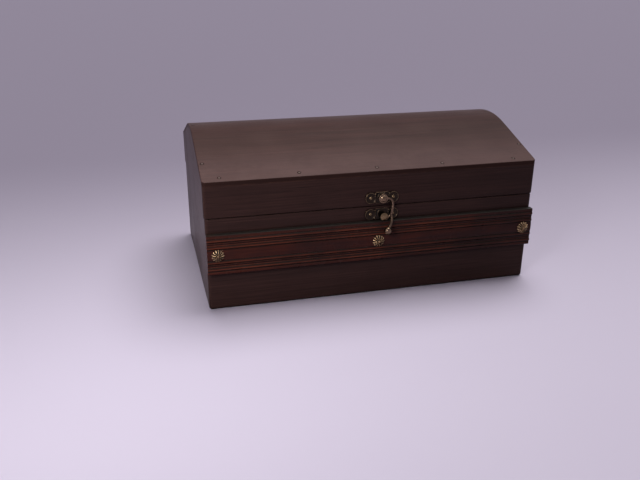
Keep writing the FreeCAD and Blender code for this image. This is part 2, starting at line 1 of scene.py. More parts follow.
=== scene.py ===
"""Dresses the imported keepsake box: boards, reeded moulding, brass latch, hinges, brads, drawer and peg."""

import logging
import math
from collections.abc import Iterable, Sequence
from dataclasses import dataclass, replace
from enum import Enum
from typing import Any

import bmesh
import bpy
from mathutils import Matrix, Vector


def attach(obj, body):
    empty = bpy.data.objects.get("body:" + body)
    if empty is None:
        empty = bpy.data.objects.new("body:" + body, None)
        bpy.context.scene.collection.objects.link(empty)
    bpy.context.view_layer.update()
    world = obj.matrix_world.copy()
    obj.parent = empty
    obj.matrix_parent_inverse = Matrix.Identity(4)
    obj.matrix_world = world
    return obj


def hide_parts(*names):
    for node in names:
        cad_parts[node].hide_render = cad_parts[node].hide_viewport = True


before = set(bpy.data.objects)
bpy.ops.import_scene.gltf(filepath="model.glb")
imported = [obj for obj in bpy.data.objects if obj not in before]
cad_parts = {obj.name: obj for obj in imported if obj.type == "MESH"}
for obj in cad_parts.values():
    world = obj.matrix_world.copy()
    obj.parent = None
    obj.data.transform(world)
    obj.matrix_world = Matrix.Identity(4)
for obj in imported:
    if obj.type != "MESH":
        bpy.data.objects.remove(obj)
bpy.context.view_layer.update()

log = logging.getLogger("keepsake_box")

Colour = tuple[int, int, int]
Point = tuple[float, float, float]
Span = tuple[float, float]
Section = tuple[Span, ...]
Profile = Sequence[Span]
Material = bpy.types.Material
Socket = bpy.types.NodeSocket
Constant = float | tuple[float, ...]
Feed = Socket | Constant

MM = 0.001
FORWARD = Vector((0, -1, 0))
ALONG = (1.0, 0.0, 0.0)
INWARD = (0.0, 1.0, 0.0)
UP = (0.0, 0.0, 1.0)
CORNERS = ((-1, -1), (1, -1), (1, 1), (-1, 1))
TACKS = {"tack_left": -117.5, "tack_centre": 0.0, "tack_right": 117.5}

FULL_TONE = 255
DARK_END = 0.04045
DARK_SLOPE = 12.92
TONE_LIFT = 0.055
TONE_POWER = 2.4


class Grain(Enum):
    """The way that a board's fibres run."""

    LENGTHWISE = 0
    FRONT_TO_BACK = 1
    UPRIGHT = 2


class Slot(Enum):
    """The record's material slots."""

    STAINED = "stained_wood"
    MAHOGANY = "mahogany"
    BARE = "bare_wood"
    PEG = "turned_peg"
    BRASS = "aged_brass"
    STEEL = "steel_brad"


def linear(colour: Colour) -> tuple[float, float, float, float]:
    """Turns a display colour into the linear colour that a shader takes.

    Args:
        colour: red, green and blue from 0 to 255.

    Returns:
        Linear red, green, blue and a full alpha.
    """
    red, green, blue = (
        tone / DARK_SLOPE if tone <= DARK_END else ((tone + TONE_LIFT) / (1 + TONE_LIFT)) ** TONE_POWER
        for tone in (part / FULL_TONE for part in colour)
    )
    return red, green, blue, 1.0


class Graph:
    """A node tree while it is being wired."""

    COLUMNS = 12
    COLUMN_STEP = 180
    ROW_STEP = -220
    MIX_INPUTS = (0, 6, 7)
    MIX_RESULT = 2

    def __init__(self, tree: bpy.types.NodeTree) -> None:
        """Takes over the tree."""
        self.tree = tree

    def add(self, kind: str, feeds: dict[str | int, Feed] | None = None, **settings: Any) -> bpy.types.Node:
        """Adds a node.

        Args:
            kind: the node's type.
            feeds: what its inputs take, by their names or numbers.
            settings: properties to set on it.

        Returns:
            The new node.
        """
        row, column = divmod(len(self.tree.nodes), self.COLUMNS)
        node = self.tree.nodes.new(kind)
        node.location = (self.COLUMN_STEP * column, self.ROW_STEP * row)
        for name, value in settings.items():
            setattr(node, name, value)
        self.fill(node, feeds or {})
        return node

    def fill(self, node: bpy.types.Node, feeds: dict[str | int, Feed]) -> None:
        """Links sockets into a node's inputs, or sets plain values on them.

        Args:
            node: the node.
            feeds: an output socket or a constant for each input, by its name or number.
        """
        for key, value in feeds.items():
            if isinstance(value, Socket):
                self.tree.links.new(value, node.inputs[key])
            else:
                node.inputs[key].default_value = value

    def maths(self, operation: str, *parts: Feed) -> Socket:
        """Adds a sum of one or two numbers."""
        return self.add("ShaderNodeMath", dict(enumerate(parts)), operation=operation).outputs[0]

    def vectors(self, operation: str, first: Feed, second: Feed) -> Socket:
        """Adds a sum of two vectors."""
        return self.add("ShaderNodeVectorMath", {0: first, 1: second}, operation=operation).outputs["Vector"]

    def dot(self, first: Feed, second: Feed) -> Socket:
        """Adds the dot product of two vectors."""
        node = self.add("ShaderNodeVectorMath", {0: first, 1: second}, operation="DOT_PRODUCT")
        return node.outputs["Value"]

    def times(self, first: Feed, *others: Feed) -> Feed:
        """Adds a product of numbers.

        Args:
            first: the first number.
            others: the rest.

        Returns:
            The product.
        """
        for other in others:
            first = self.maths("MULTIPLY", first, other)
        return first

    def shared(self, first: Feed, second: Feed, share: float) -> Socket:
        """Adds up two numbers, the second by its share and the first by the rest."""
        return self.maths("ADD", self.times(first, 1 - share), self.times(second, share))

    def span(self, value: Feed, low: Feed, high: Feed, to_low: Feed = 0.0, to_high: Feed = 1.0) -> Socket:
        """Adds a smooth step from one span of numbers to another."""
        feeds = {"Value": value, "From Min": low, "From Max": high, "To Min": to_low, "To Max": to_high}
        return self.add("ShaderNodeMapRange", feeds, interpolation_type="SMOOTHSTEP").outputs[0]

    def blend(self, factor: Feed, first: Feed, second: Feed) -> Socket:
        """Adds a mix of two colours."""
        feeds = dict(zip(self.MIX_INPUTS, (factor, first, second)))
        return self.add("ShaderNodeMix", feeds, data_type="RGBA").outputs[self.MIX_RESULT]

    def layer(self, under: Feed, tone: Colour, *masks: Feed) -> Socket:
        """Adds a tone over a colour, where all its masks let it lie."""
        return self.blend(self.times(*masks), under, linear(tone))

    def noise(self, vector: Feed, scale: Feed, detail: float, warp: float = 0.0) -> Socket:
        """Adds a noise from 0 to 1, with its octaves and how far it folds over itself."""
        feeds = {"Vector": vector, "Scale": scale, "Detail": detail, "Distortion": warp}
        return self.add("ShaderNodeTexNoise", feeds, noise_dimensions="3D").outputs[0]

    def bump(self, height: Feed, strength: float, depth: float) -> Socket:
        """Adds a fine relief, its depth in metres, as the normal that a shader takes."""
        feeds = {"Height": height, "Strength": strength, "Distance": depth}
        return self.add("ShaderNodeBump", feeds).outputs[0]

    def place(self) -> Socket:
        """The place on the piece, in metres of the shared frame."""
        return self.add("ShaderNodeTexCoord").outputs["Object"]

    def normal(self) -> Socket:
        """The way that the surface faces."""
        return self.add("ShaderNodeNewGeometry").outputs["Normal"]


class Effect(Graph):
    """A surface effect that several finishes share, kept as a node group."""

    def __init__(self, name: str, inputs: dict[str, Constant], outputs: Iterable[str]) -> None:
        """Starts the group with its sockets.

        Args:
            name: the group's name.
            inputs: each input's name and starting value, a number or a vector.
            outputs: the names of the masks that it puts out.
        """
        super().__init__(bpy.data.node_groups.new(name, "ShaderNodeTree"))
        for title, value in inputs.items():
            kind = "NodeSocketVector" if isinstance(value, tuple) else "NodeSocketFloat"
            self.tree.interface.new_socket(title, in_out="INPUT", socket_type=kind).default_value = value
        for title in outputs:
            self.tree.interface.new_socket(title, in_out="OUTPUT", socket_type="NodeSocketFloat")
        self.taken = self.add("NodeGroupInput").outputs
        self.end = self.add("NodeGroupOutput")

    def give(self, **masks: Socket) -> "Effect":
        """Hands out the group's masks."""
        self.fill(self.end, masks)
        return self

    def put(self, graph: Graph, **values: Feed) -> bpy.types.NodeOutputs:
        """Places the effect in a material, its inputs named with underscores for spaces."""
        feeds = {name.replace("_", " ").title(): value for name, value in values.items()}
        return graph.add("ShaderNodeGroup", feeds, node_tree=self.tree).outputs


@dataclass
class Effects:
    """The shared effects, each built once."""

    sway_size: float = 9.0
    sway: Point = (0.0, 0.004, 0.004)
    fibre_span: Span = (0.25, 0.75)
    figure_size: float = 0.11
    figure_fold: float = 0.8
    figure_span: Span = (0.3, 0.7)
    pore_shrink: Point = (2.2, 1.6, 1.6)
    pore_span: Span = (0.66, 0.74)
    edge_samples: int = 6
    edge_span: Span = (0.01, 0.22)
    edge_patches: Span = (0.32, 0.68)
    dust_facing: Span = (0.35, 1.0)
    dust_span: Span = (0.3, 0.75)
    dust_least: float = 0.35
    grit_size: float = 45.0
    grit_share: float = 0.25
    smudge_fold: float = 0.6
    smudge_span: Span = (0.32, 0.68)
    streak_size: float = 9.0
    streak_share: float = 0.3
    corner_samples: int = 8
    corner_span: Span = (0.12, 0.75)
    mottle_span: Span = (0.2, 0.7)
    mottle_least: float = 0.55
    flat_bend: float = 0.5
    crest_span: Span = (0.4, 1.0)
    hollow_span: Span = (-0.15, -0.8)

    def __post_init__(self) -> None:
        """Builds every group."""
        self.grain = self._grain()
        self.wear_and_highlight = self._wear()
        self.dust = self._dust()
        self.handling = self._handling()
        self.recess = self._recess()
        self.relief = self._relief()

    def _grain(self) -> Effect:
        """Wood fibres, broad figure and open pores, drawn out along the board.

        Returns:
            The group.
        """
        inputs = {"Stretch": (20.0, 900.0, 900.0), "Shift": (0.0, 0.0, 0.0), "Waviness": 0.6}
        group = Effect("wood_grain", inputs, ("Fibre", "Figure", "Pores"))
        place = group.vectors("ADD", group.place(), group.taken["Shift"])
        bend = group.times(group.noise(place, self.sway_size, detail=1.0), group.taken["Waviness"])
        swayed = group.vectors("ADD", place, group.vectors("MULTIPLY", self.sway, bend))
        drawn = group.vectors("MULTIPLY", swayed, group.taken["Stretch"])
        fibre = group.noise(drawn, 1.0, detail=3.0)
        figure = group.noise(drawn, self.figure_size, detail=2.0, warp=self.figure_fold)
        pores = group.noise(group.vectors("MULTIPLY", drawn, self.pore_shrink), 1.0, detail=1.0)
        return group.give(
            Fibre=group.span(fibre, *self.fibre_span),
            Figure=group.span(figure, *self.figure_span),
            Pores=group.span(pores, *self.pore_span),
        )

    def _wear(self) -> Effect:
        """Rubbed edges, broken up so that no edge is rubbed evenly.

        Returns:
            The group.
        """
        group = Effect("edge_wear", {"Width": 0.0008, "Amount": 1.0, "Break Up": 160.0}, ("Wear",))
        bevel = group.add("ShaderNodeBevel", {"Radius": group.taken["Width"]}, samples=self.edge_samples)
        turned = group.maths("SUBTRACT", 1.0, group.dot(bevel.outputs[0], group.normal()))
        patches = group.noise(group.place(), group.taken["Break Up"], detail=4.0)
        edge = group.span(turned, *self.edge_span)
        broken = group.span(patches, *self.edge_patches)
        return group.give(Wear=group.times(edge, broken, group.taken["Amount"]))

    def _dust(self) -> Effect:
        """A thin haze that settles on what faces up.

        Returns:
            The group.
        """
        group = Effect("settled_dust", {"Amount": 0.3, "Size": 40.0}, ("Dust",))
        up = group.span(group.dot(group.normal(), UP), *self.dust_facing)
        cloud = group.noise(group.place(), group.taken["Size"], detail=5.0)
        grit = group.noise(group.place(), group.times(group.taken["Size"], self.grit_size), detail=1.0)
        soft = group.span(group.shared(cloud, grit, self.grit_share), *self.dust_span, self.dust_least)
        return group.give(Dust=group.times(up, soft, group.taken["Amount"]))

    def _handling(self) -> Effect:
        """Smudges and rubbed patches left by hands.

        Returns:
            The group.
        """
        group = Effect("handling", {"Size": 22.0}, ("Smudge",))
        wide = group.noise(group.place(), group.taken["Size"], detail=3.0, warp=self.smudge_fold)
        streaks = group.noise(group.place(), group.times(group.taken["Size"], self.streak_size), detail=2.0)
        both = group.shared(wide, streaks, self.streak_share)
        return group.give(Smudge=group.span(both, *self.smudge_span))

    def _recess(self) -> Effect:
        """Darkening in corners and round small heads: painted shade on the woods, dark patina on the metals.

        Returns:
            The group.
        """
        group = Effect("recess_grime_and_shade", {"Reach": 0.002, "Amount": 1.0, "Mottle": 500.0}, ("Grime",))
        reach = {"Distance": group.taken["Reach"]}
        shade = group.add("ShaderNodeAmbientOcclusion", reach, samples=self.corner_samples).outputs["AO"]
        hollow = group.span(group.maths("SUBTRACT", 1.0, shade), *self.corner_span)
        patches = group.noise(group.place(), group.taken["Mottle"], detail=3.0)
        mottle = group.span(patches, *self.mottle_span, self.mottle_least)
        return group.give(Grime=group.times(hollow, mottle, group.taken["Amount"]))

    def _relief(self) -> Effect:
        """Crests and hollows of stamped or turned work, read from its curvature: on the moulding the crests
        are rubbed and partly painted highlight and the hollows painted shade; on brass the crests are rubbed
        and the hollows take patina.

        Returns:
            The group.
        """
        group = Effect("stamped_relief", {"Sharpness": 0.03}, ("Crest", "Hollow"))
        pointed = group.add("ShaderNodeNewGeometry").outputs["Pointiness"]
        bend = group.maths("SUBTRACT", pointed, self.flat_bend)
        share = group.maths("DIVIDE", bend, group.taken["Sharpness"])
        crest = group.span(share, *self.crest_span)
        return group.give(Crest=crest, Hollow=group.span(share, *self.hollow_span))


def new_material(name: str) -> tuple[Material, Graph, bpy.types.Node]:
    """Starts a material.

    Args:
        name: its name.

    Returns:
        The material, its graph and its shader.
    """
    material = bpy.data.materials.new(name)
    material.use_nodes = True
    return material, Graph(material.node_tree), material.node_tree.nodes["Principled BSDF"]


@dataclass(frozen=True)
class WoodFinish:
    """A wood with its stain and lacquer, colours as they look in plain light."""

    slot: Slot
    ground: Colour
    fibre: Colour
    figure: Colour
    pore_and_shade: Colour
    worn_and_highlight: Colour
    dusty: Colour
    smooth: float
    rough: float
    gloss: float
    fibre_width: float = 0.9 * MM
    fibre_length: float = 60 * MM
    board_shift: Point = (0.37, 0.53, 0.71)
    figure_share: float = 0.4
    pore_share: float = 0.35
    grime_and_shade_reach: float = 2.5 * MM
    grime_and_shade_amount: float = 0.6
    grime_and_shade_mottle: float = 120.0
    wear_width: float = 0.9 * MM
    wear_amount: float = 0.5
    dust_amount: float = 0.2
    sheen_span: Span = (0.0, 1.6)
    relief: float = 0.08 * MM
    relief_strength: float = 0.5
    sharpness: float = 0.0
    # The next five fields place the rubbing and painted highlight on moulded crests.
    end_turn: Span = (0.02, 0.2)
    highlight_and_rub_at: float = -0.03
    highlight_and_rub_reach: Span = (0.05, 0.13)
    highlight_and_rub_far: float = 0.25
    rub_and_highlight_share: Span = (0.85, 0.2)
    uneven: float = 0.35
    uneven_size: float = 9.0
    # The next five fields lay a lighter, greyer tone on the roof's lower slope, partly painted sheen.
    fade_and_sheen: Colour = (112, 82, 72)
    fade_and_sheen_span: Span = (0.0, 1.0)
    fade_and_sheen_smudge: Span = (0.7, 1.0)
    fade_and_sheen_facing: Span = (0.6, 0.9)
    fade_and_sheen_amount: float = 0.0

    def material(self, effects: Effects, grain: Grain, board: int) -> Material:
        """Makes the finish for one board.

        Args:
            effects: the shared node groups.
            grain: the way that the board's fibres run.
            board: the board's number, which gives it a figure of its own.

        Returns:
            The material.
        """
        material, graph, shader = new_material(f"{self.slot.value}_{board}")
        stretch = [1 / self.fibre_width] * 3
        stretch[grain.value] = 1 / self.fibre_length
        shift = tuple(step * board for step in self.board_shift)
        wood = effects.grain.put(graph, stretch=tuple(stretch), shift=shift)
        smudge = effects.handling.put(graph)["Smudge"]
        patches = effects.handling.put(graph, size=self.uneven_size)["Smudge"]
        dust = effects.dust.put(graph, amount=self.dust_amount)["Dust"]
        # The corner darkening, coloured like the pores, is painted shade.
        corners = {"reach": self.grime_and_shade_reach, "amount": self.grime_and_shade_amount, "mottle": self.grime_and_shade_mottle}
        grime_and_shade = effects.recess.put(graph, **corners)["Grime"]
        edges = effects.wear_and_highlight.put(graph, width=self.wear_width, amount=self.wear_amount)["Wear"]
        wear_and_highlight = graph.times(edges, graph.maths("SUBTRACT", 1.0, grime_and_shade))
        if self.sharpness:
            relief = effects.relief.put(graph, sharpness=self.sharpness)
            # On the moulding the rubbed crests also carry painted highlight.
            wear_and_highlight = graph.maths("MAXIMUM", wear_and_highlight, self._rubbed_and_highlighted_crests(graph, relief["Crest"], patches))
            grime_and_shade = graph.maths("MAXIMUM", grime_and_shade, relief["Hollow"])
        colour = graph.layer(linear(self.ground), self.fibre, wood["Fibre"])
        colour = graph.layer(colour, self.figure, wood["Figure"], self.figure_share)
        colour = graph.layer(colour, self.figure, patches, self.uneven)
        colour = graph.layer(colour, self.pore_and_shade, wood["Pores"], self.pore_share)
        # The roof's lighter, greyer lower slope is partly painted sheen.
        if self.fade_and_sheen_amount:
            colour = graph.layer(colour, self.fade_and_sheen, self._fade_and_sheen(graph, smudge), self.fade_and_sheen_amount)
        # The dark tone in corners is painted shade, and the lighter tone on the moulding's crests is partly
        # painted highlight.
        for tone, mask in ((self.pore_and_shade, grime_and_shade), (self.worn_and_highlight, wear_and_highlight), (self.dusty, dust)):
            colour = graph.layer(colour, tone, mask)
        dulled = graph.maths("ADD", smudge, graph.maths("ADD", dust, wear_and_highlight))
        height = graph.maths("SUBTRACT", wood["Fibre"], wood["Pores"])
        feeds = {
            "Base Color": colour,
            "Roughness": graph.span(dulled, *self.sheen_span, self.smooth, self.rough),
            "Specular IOR Level": self.gloss,
            "Normal": graph.bump(height, self.relief_strength, self.relief),
        }
        graph.fill(shader, feeds)
        return material

    def _rubbed_and_highlighted_crests(self, graph: Graph, crest: Socket, patches: Socket) -> Feed:
        """Where the crests of moulded work are rubbed and painted with highlight, most of all near the latch.

        Args:
            graph: the material's graph.
            crest: the mask of the crests.
            patches: the mask of what is rubbed less.

        Returns:
            The mask.
        """
        sideways = graph.maths("ABSOLUTE", graph.dot(graph.normal(), ALONG))
        along = graph.dot(graph.place(), ALONG)
        away = graph.maths("ABSOLUTE", graph.maths("SUBTRACT", along, self.highlight_and_rub_at))
        return graph.times(
            crest,
            graph.span(sideways, *self.end_turn, 1.0, 0.0),
            graph.span(away, *self.highlight_and_rub_reach, 1.0, self.highlight_and_rub_far),
            graph.span(patches, 0.0, 1.0, *self.rub_and_highlight_share),
        )

    def _fade_and_sheen(self, graph: Graph, smudge: Socket) -> Feed:
        """Where what faces up takes a lighter, greyer tone, most of all near its lower edge: partly fading
        from light and hands, partly painted sheen.

        Args:
            graph: the material's graph.
            smudge: the mask of the smudges.

        Returns:
            The mask.
        """
        return graph.times(
            graph.span(graph.dot(graph.place(), UP), *self.fade_and_sheen_span),
            graph.span(smudge, 0.0, 1.0, *self.fade_and_sheen_smudge),
            graph.span(graph.dot(graph.normal(), UP), *self.fade_and_sheen_facing),
        )


@dataclass(frozen=True)
class MetalFinish:
    """A metal with rubbed high spots and dark patina in its corners, colours as they look in plain light."""

    slot: Slot
    tone: str
    bright: Colour
    dull: Colour
    grime_and_shade: Colour
    smooth: float
    rough: float
    rub_width: float = 0.5 * MM
    rub_break_up: float = 420.0
    grime_and_shade_reach: float = 1.6 * MM
    grime_and_shade_amount: float = 0.75
    grime_metallic: float = 0.35
    rubbed_share: float = 0.3
    smudge_size: float = 210.0
    smudge_share: float = 0.4
    sheen_span: Span = (0.0, 1.2)
    relief: float = 0.05 * MM
    relief_strength: float = 0.25
    sharpness: float = 0.0

    def material(self, effects: Effects) -> Material:
        """Makes the finish.

        Args:
            effects: the shared node groups.

        Returns:
            The material.
        """
        material, graph, shader = new_material(f"{self.slot.value}_{self.tone}")
        smudge = effects.handling.put(graph, size=self.smudge_size)["Smudge"]
        rub = effects.wear_and_highlight.put(graph, width=self.rub_width, break_up=self.rub_break_up)["Wear"]
        grime_and_shade = effects.recess.put(graph, reach=self.grime_and_shade_reach, amount=self.grime_and_shade_amount)["Grime"]
        if self.sharpness:
            relief = effects.relief.put(graph, sharpness=self.sharpness)
            rub = graph.maths("MAXIMUM", rub, relief["Crest"])
            grime_and_shade = graph.maths("MAXIMUM", grime_and_shade, relief["Hollow"])
        colour = graph.layer(linear(self.dull), self.bright, smudge, self.rubbed_share)
        colour = graph.layer(colour, self.bright, rub)
        dulled = graph.maths("ADD", grime_and_shade, graph.times(smudge, self.smudge_share))
        feeds = {
            "Base Color": graph.layer(colour, self.grime_and_shade, grime_and_shade),
            "Metallic": graph.span(grime_and_shade, 0.0, 1.0, 1.0, self.grime_metallic),
            "Roughness": graph.span(dulled, *self.sheen_span, self.smooth, self.rough),
            "Normal": graph.bump(smudge, self.relief_strength, self.relief),
        }
        graph.fill(shader, feeds)
        return material


# The stained boards' wide corner darkening is painted shade: a soft dark halo round the latch plates and the
# moulding, and along the lid's seam.
STAINED = WoodFinish(
    Slot.STAINED, ground=(60, 40, 37), fibre=(77, 52, 48), figure=(50, 34, 32), pore_and_shade=(24, 16, 15),
    worn_and_highlight=(112, 76, 62), dusty=(140, 114, 106), smooth=0.36, rough=0.44, gloss=0.1,
    grime_and_shade_reach=6 * MM, grime_and_shade_amount=0.8, dust_amount=0.1,
)
# The roof takes a lighter, greyer tone near its lower edge, partly painted sheen.
ROOF = replace(
    STAINED, gloss=0.03, uneven=0.3, fade_and_sheen=(113, 89, 87), fade_and_sheen_span=(0.111, 0.0965), fade_and_sheen_amount=0.5
)
POOLED_STAIN = replace(
    STAINED, ground=(42, 23, 20), fibre=(50, 29, 25), figure=(34, 19, 17), gloss=0.03,
    wear_amount=0.0, dust_amount=0.0,
)
# The moulding's crests take a lighter tone, partly rubbing and partly painted highlight, and its creases take
# painted shade.
MAHOGANY = WoodFinish(
    Slot.MAHOGANY, ground=(68, 31, 25), fibre=(94, 43, 31), figure=(42, 26, 25), pore_and_shade=(18, 9, 8),
    worn_and_highlight=(164, 88, 62), dusty=(46, 42, 38), smooth=0.26, rough=0.42, gloss=0.12,
    grime_and_shade_reach=1.2 * MM, grime_and_shade_amount=0.9, wear_width=0.45 * MM, wear_amount=0.04, dust_amount=2.5,
    sharpness=0.04, uneven=0.75,
)
BARE = WoodFinish(
    Slot.BARE, ground=(186, 148, 104), fibre=(206, 172, 128), figure=(168, 128, 86), pore_and_shade=(120, 86, 54),
    worn_and_highlight=(214, 186, 146), dusty=(200, 184, 160), smooth=0.55, rough=0.75, gloss=0.3,
    wear_amount=0.3, dust_amount=0.1,
)
PEG = WoodFinish(
    Slot.PEG, ground=(158, 104, 62), fibre=(178, 124, 78), figure=(136, 84, 48), pore_and_shade=(96, 58, 32),
    worn_and_highlight=(196, 150, 104), dusty=(190, 166, 136), smooth=0.35, rough=0.5, gloss=0.4,
    fibre_width=0.8 * MM, fibre_length=20 * MM,
)
# The plates' brass is painted much darker than the hook's and the tacks': darkened brass, and painted shade
# for the dark surroundings that the plates reflect.
PLATE_BRASS = MetalFinish(
    Slot.BRASS, "plate", bright=(126, 103, 80), dull=(38, 32, 28), grime_and_shade=(14, 12, 11),
    smooth=0.3, rough=0.5, grime_and_shade_reach=0.8 * MM, rubbed_share=0.08, sharpness=0.036,
)
HOOK_BRASS = MetalFinish(
    Slot.BRASS, "hook", bright=(206, 176, 138), dull=(92, 74, 62), grime_and_shade=(20, 15, 12),
    smooth=0.16, rough=0.4, rubbed_share=0.15, sharpness=0.05,
)
TACK_BRASS = MetalFinish(
    Slot.BRASS, "tack", bright=(206, 172, 132), dull=(84, 63, 47), grime_and_shade=(18, 12, 9),
    smooth=0.26, rough=0.5, grime_and_shade_reach=0.8 * MM, rubbed_share=0.15, sharpness=0.032,
)
HEAD_BRASS = MetalFinish(
    Slot.BRASS, "head", bright=(176, 150, 112), dull=(104, 86, 64), grime_and_shade=(22, 17, 13),
    smooth=0.25, rough=0.45,
)
HINGE_BRASS = MetalFinish(
    Slot.BRASS, "hinge", bright=(164, 136, 98), dull=(92, 76, 56), grime_and_shade=(24, 19, 15),
    smooth=0.28, rough=0.5,
)
STEEL = MetalFinish(
    Slot.STEEL, "brad", bright=(92, 78, 72), dull=(70, 57, 52), grime_and_shade=(34, 22, 19),
    smooth=0.4, rough=0.6, rub_width=0.2 * MM, grime_and_shade_reach=0.3 * MM,
)


def dress(node: str, material: Material) -> None:
    """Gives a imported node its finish.

    Args:
        node: the node's name.
        material: its finish.
    """
    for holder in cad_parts[node].material_slots:
        holder.material = material
    log.info("%s: %s", node, material.name)


@dataclass(frozen=True)
class Boards:
    """Boards in one finish, numbered so that each has a figure of its own."""

    finish: WoodFinish
    first: int
    grains: tuple[tuple[str, Grain], ...]

    def dress(self, effects: Effects) -> None:
        """Dresses each board along its own grain."""
        for number, (node, grain) in enumerate(self.grains, self.first):
            dress(node, self.finish.material(effects, grain, number))


class Boarded:
    """A sub-assembly whose fields are its boards."""

    def build(self, effects: Effects) -> None:
        """Dresses the boards, field by field."""
        for boards in vars(self).values():
            boards.dress(effects)


@dataclass
class Case(Boarded):
    """The case: stained walls outside, bare boards inside."""

    walls: Boards = Boards(STAINED, 1, (
        ("case_front", Grain.LENGTHWISE),
        ("case_back", Grain.LENGTHWISE),
        ("case_left_end", Grain.FRONT_TO_BACK),
        ("case_right_end", Grain.FRONT_TO_BACK),
    ))
    inside: Boards = Boards(BARE, 12, (
        ("case_bottom", Grain.LENGTHWISE),
        ("compartment_floor", Grain.LENGTHWISE),
        ("drawer_guide_left", Grain.FRONT_TO_BACK),
        ("drawer_guide_right", Grain.FRONT_TO_BACK),
        ("drawer_stop", Grain.LENGTHWISE),
        ("peg_block", Grain.UPRIGHT),
    ))


@dataclass
class Lid(Boarded):
    """The lid: four low walls under a bent roof panel."""

    walls: Boards = Boards(STAINED, 5, (
        ("lid_front", Grain.LENGTHWISE),
        ("lid_back", Grain.LENGTHWISE),
        ("lid_left_end", Grain.FRONT_TO_BACK),
        ("lid_right_end", Grain.FRONT_TO_BACK),
    ))
    roof: Boards = Boards(ROOF, 9, (("lid_roof", Grain.LENGTHWISE),))


@dataclass
class Drawer(Boarded):
    """The hidden drawer with its locking peg."""

    front: Boards = Boards(STAINED, 10, (("drawer_front", Grain.LENGTHWISE),))
    tray: Boards = Boards(BARE, 18, (
        ("drawer_left_side", Grain.FRONT_TO_BACK),
        ("drawer_right_side", Grain.FRONT_TO_BACK),
        ("drawer_back", Grain.LENGTHWISE),
        ("drawer_bottom", Grain.LENGTHWISE),
    ))
    peg: Boards = Boards(PEG, 22, (("lock_peg", Grain.UPRIGHT),))


@dataclass
class Hinges:
    """The two butt hinges at the back."""

    sides: tuple[str, ...] = ("left", "right")
    leaves: tuple[str, ...] = ("case_leaf", "lid_leaf", "pin")
    screws: tuple[str, ...] = ("hinge_case_screws", "hinge_lid_screws")

    def build(self, material: Material) -> None:
        """Dresses the leaves, the pins and the screws.

        Args:
            material: their finish.
        """
        for side in self.sides:
            for leaf in self.leaves:
                dress(f"hinge_{side}_{leaf}", material)
        for screws in self.screws:
            dress(screws, material)


def spokes(across: Vector, beside: Vector, sides: int) -> list[Vector]:
    """Unit spokes all round an axis, from two that are a quarter turn apart."""
    turns = [2 * math.pi * i / sides for i in range(sides)]
    return [across * math.cos(turn) + beside * math.sin(turn) for turn in turns]


